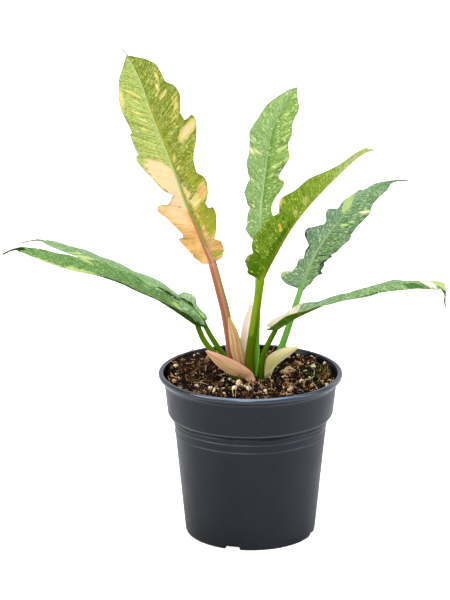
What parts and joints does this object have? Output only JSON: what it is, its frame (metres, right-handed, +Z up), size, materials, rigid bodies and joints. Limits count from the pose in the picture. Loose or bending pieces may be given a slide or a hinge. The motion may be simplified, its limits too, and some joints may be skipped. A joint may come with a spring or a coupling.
{
  "type": "potted ring of fire gold philodendron",
  "caption": "Young variegated philodendron with long lobed leaves, cream to green, rising from bud scales in a charcoal plastic nursery pot of dark potting mix.",
  "frame": {"origin": "middle of the pot's underside", "axes": "+Z up, -Y towards the picture's camera, so +X is to the right in the picture"},
  "size_m": [0.2843, 0.1226, 0.3349],
  "materials": {
    "pot": "satin moulded polypropylene",
    "soil": "crumbly coir and bark with pale pumice",
    "stem": "smooth green tissue",
    "leaf_tall_gold": "satin leaf, gold and cream variegation",
    "leaf_upright_green": "satin leaf, light green with cream flecks",
    "leaf_front_bronze": "glossy leaf, olive bronze with yellow specks",
    "leaf_right_blue_green": "satin leaf, blue green with cream patches",
    "leaf_right_low": "satin leaf, light green with a cream base",
    "leaf_left_near": "satin leaf, green with pale patches",
    "leaf_left_far": "satin leaf, green with pale patches",
    "bud_scale_front": "thin papery scale, salmon pink",
    "bud_scale_tan": "thin papery scale, tan",
    "bud_scale_pink": "thin papery scale, pale pink",
    "bud_scale_cream": "thin fleshy scale, cream and yellow green",
    "dry_scrap": "dry papery scrap, tan"
  },
  "bodies": {
    "root": {"pot": "pot", "soil": "soil", "stem": "stem", "leaf_tall_gold": "leaf_tall_gold", "leaf_upright_green": "leaf_upright_green", "leaf_front_bronze": "leaf_front_bronze", "leaf_right_blue_green": "leaf_right_blue_green", "leaf_right_low": "leaf_right_low", "leaf_left_near": "leaf_left_near", "leaf_left_far": "leaf_left_far", "bud_scale_front": "bud_scale_front", "bud_scale_tan": "bud_scale_tan", "bud_scale_pink": "bud_scale_pink", "bud_scale_cream": "bud_scale_cream", "dry_scrap": "dry_scrap"}
  },
  "joints": []
}
